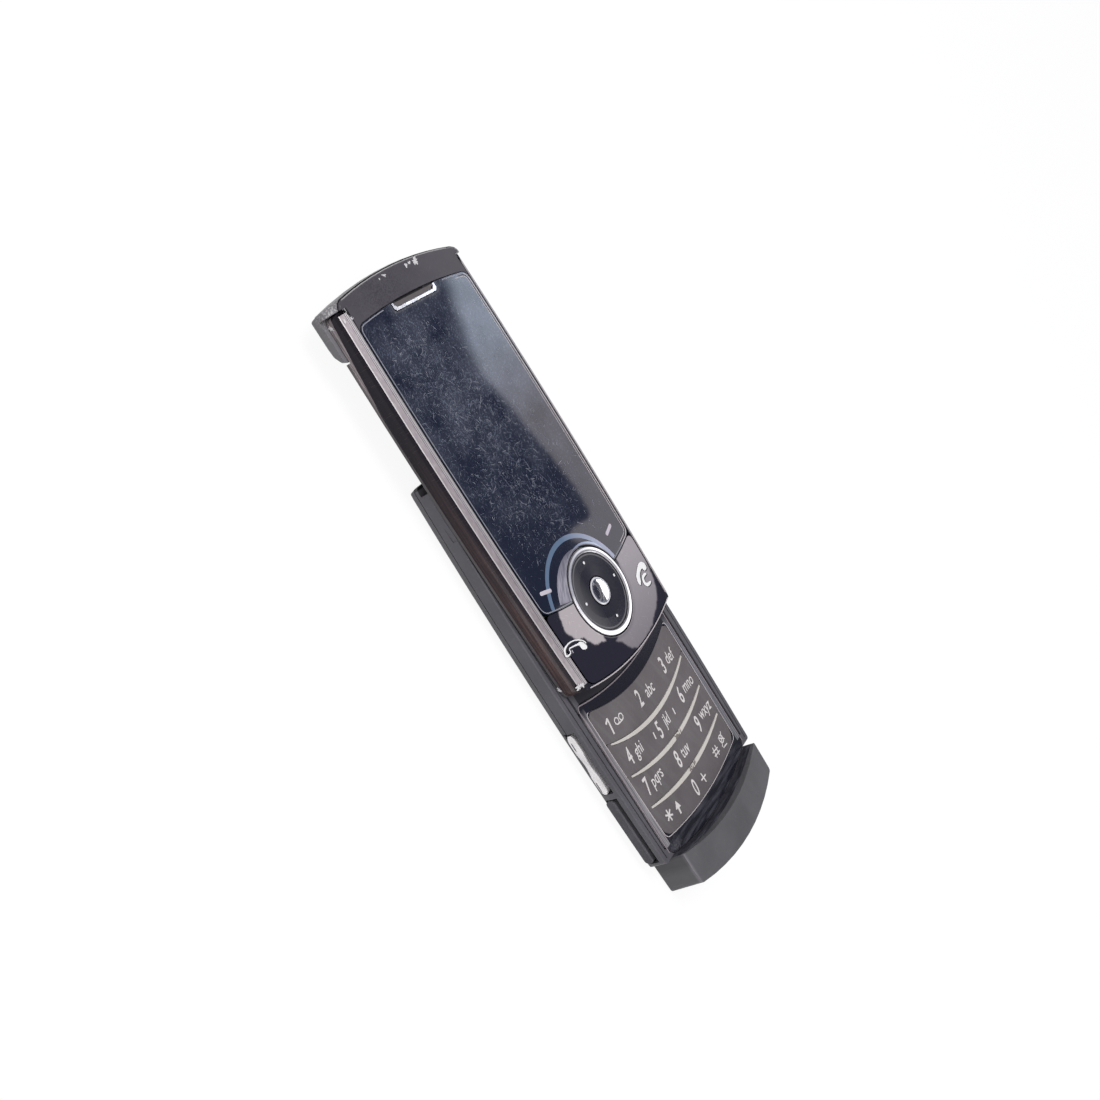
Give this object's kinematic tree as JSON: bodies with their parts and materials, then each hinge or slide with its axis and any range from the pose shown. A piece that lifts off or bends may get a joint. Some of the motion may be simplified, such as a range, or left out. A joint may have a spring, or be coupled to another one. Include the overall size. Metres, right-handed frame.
{
  "type": "slider phone",
  "caption": "Slim slider phone: display half with a navigation key slides up on hooked steel runners over a half with an arched keypad, side keys, connector flap and battery cover.",
  "frame": {"origin": "on the flat back, at the middle of the lower half's width and length", "axes": "+X to the user's right, +Y towards the earpiece and along the slide, +Z out of the display"},
  "size_m": [0.0496, 0.144, 0.011],
  "materials": {
    "battery_grey": "wrapped",
    "black": "plain",
    "board_green": "solder resist",
    "charcoal": "satin",
    "chin_grey": "matte moulding",
    "chrome": "bright",
    "clear_yellow": "clear",
    "gloss_brown": "polished",
    "gloss_mirror": "mirror-coated",
    "gloss_navy": "polished",
    "ivory": "satin",
    "keypad": "satin",
    "mesh_brown": "woven mesh, lacquered",
    "rubber": "matte",
    "satin_grey": "satin moulding",
    "satin_violet": "satin moulding",
    "steel": "plain",
    "strip_pink": "satin, worn",
    "window": "clear cast plastic, dark behind"
  },
  "bodies": {
    "base": {"base_screw_1": "steel", "base_screw_2": "steel", "base_screw_3": "steel", "base_screw_4": "steel", "base_shell": "satin_grey", "battery": "battery_grey", "chin_cap": "chin_grey", "dome_sheet": "clear_yellow", "front_bezel": "gloss_navy", "loudspeaker": "black", "main_board": "board_green", "microphone": "steel", "port_socket": "steel", "row_ridge_1": "ivory", "row_ridge_2": "ivory", "row_ridge_3": "ivory", "shutter_switch": "steel", "sim_holder": "steel", "vibration_motor": "steel", "volume_switch_down": "steel", "volume_switch_up": "steel"},
    "slider": {"slider_frame": "gloss_brown", "slide_plate": "steel", "side_strip_left": "strip_pink", "side_strip_right": "strip_pink", "cap_skirt": "satin_grey", "end_cap": "satin_violet", "earpiece_receiver": "black", "display_window": "window", "earpiece_trim": "chrome", "earpiece_mesh": "mesh_brown", "function_fascia": "gloss_mirror", "lcd_module": "black", "upper_board": "board_green", "flex_ribbon": "clear_yellow", "rear_panel": "satin_grey", "camera_window": "window", "flash_lens": "clear_yellow", "camera_module": "black"},
    "battery_cover": {"battery_cover": "satin_grey"},
    "volume_key": {"volume_key": "chrome"},
    "shutter_key": {"shutter_key": "chrome"},
    "port_flap": {"port_flap": "rubber"},
    "key_row_1": {"key_row_1": "keypad"},
    "key_row_2": {"key_row_2": "keypad"},
    "key_row_3": {"key_row_3": "keypad"},
    "key_row_4": {"key_row_4": "keypad"},
    "nav_pad": {"nav_pad": "rubber"},
    "nav_key": {"nav_rim": "chrome", "nav_disc": "charcoal"},
    "centre_key": {"centre_key": "chrome"}
  },
  "joints": [
    {"name": "slide", "type": "slide", "parent": "base", "child": "slider", "axis": [0, -1, 0], "range_m": [0, 0.0398]},
    {"name": "cover_slide", "type": "slide", "parent": "base", "child": "battery_cover", "axis": [0, 1, 0], "range_m": [0, 0.005]},
    {"name": "volume_rock", "type": "hinge", "parent": "base", "child": "volume_key", "pos_m": [-0.02335, -0.01455, 0.00335], "axis": [0, 0, 1], "range_deg": [-2, 2], "stiffness_Nm_per_rad": 0.14},
    {"name": "shutter_press", "type": "slide", "parent": "base", "child": "shutter_key", "axis": [-1, 0, 0], "range_m": [0, 0.0003], "stiffness_N_per_m": 2500},
    {"name": "flap_swing", "type": "hinge", "parent": "base", "child": "port_flap", "pos_m": [-0.02425, -0.03975, 0.00265], "axis": [0, 0, 1], "range_deg": [0, 90]},
    {"name": "key_press_1", "type": "slide", "parent": "base", "child": "key_row_1", "axis": [0, 0, -1], "range_m": [0, 0.00022], "stiffness_N_per_m": 3000},
    {"name": "key_press_2", "type": "slide", "parent": "base", "child": "key_row_2", "axis": [0, 0, -1], "range_m": [0, 0.00022], "stiffness_N_per_m": 3000},
    {"name": "key_press_3", "type": "slide", "parent": "base", "child": "key_row_3", "axis": [0, 0, -1], "range_m": [0, 0.00022], "stiffness_N_per_m": 3000},
    {"name": "key_press_4", "type": "slide", "parent": "base", "child": "key_row_4", "axis": [0, 0, -1], "range_m": [0, 0.00022], "stiffness_N_per_m": 3000},
    {"name": "nav_tilt_up_down", "type": "hinge", "parent": "slider", "child": "nav_pad", "pos_m": [0, 0.01163, 0.0086], "axis": [1, 0, 0], "range_deg": [-1.2, 1.2], "stiffness_Nm_per_rad": 0.3},
    {"name": "nav_tilt_left_right", "type": "hinge", "parent": "nav_pad", "child": "nav_key", "pos_m": [0, 0.01163, 0.0086], "axis": [0, 1, 0], "range_deg": [-1.2, 1.2], "stiffness_Nm_per_rad": 0.3},
    {"name": "centre_press", "type": "slide", "parent": "slider", "child": "centre_key", "axis": [0, 0, -1], "range_m": [0, 0.00025], "stiffness_N_per_m": 3000}
  ]
}
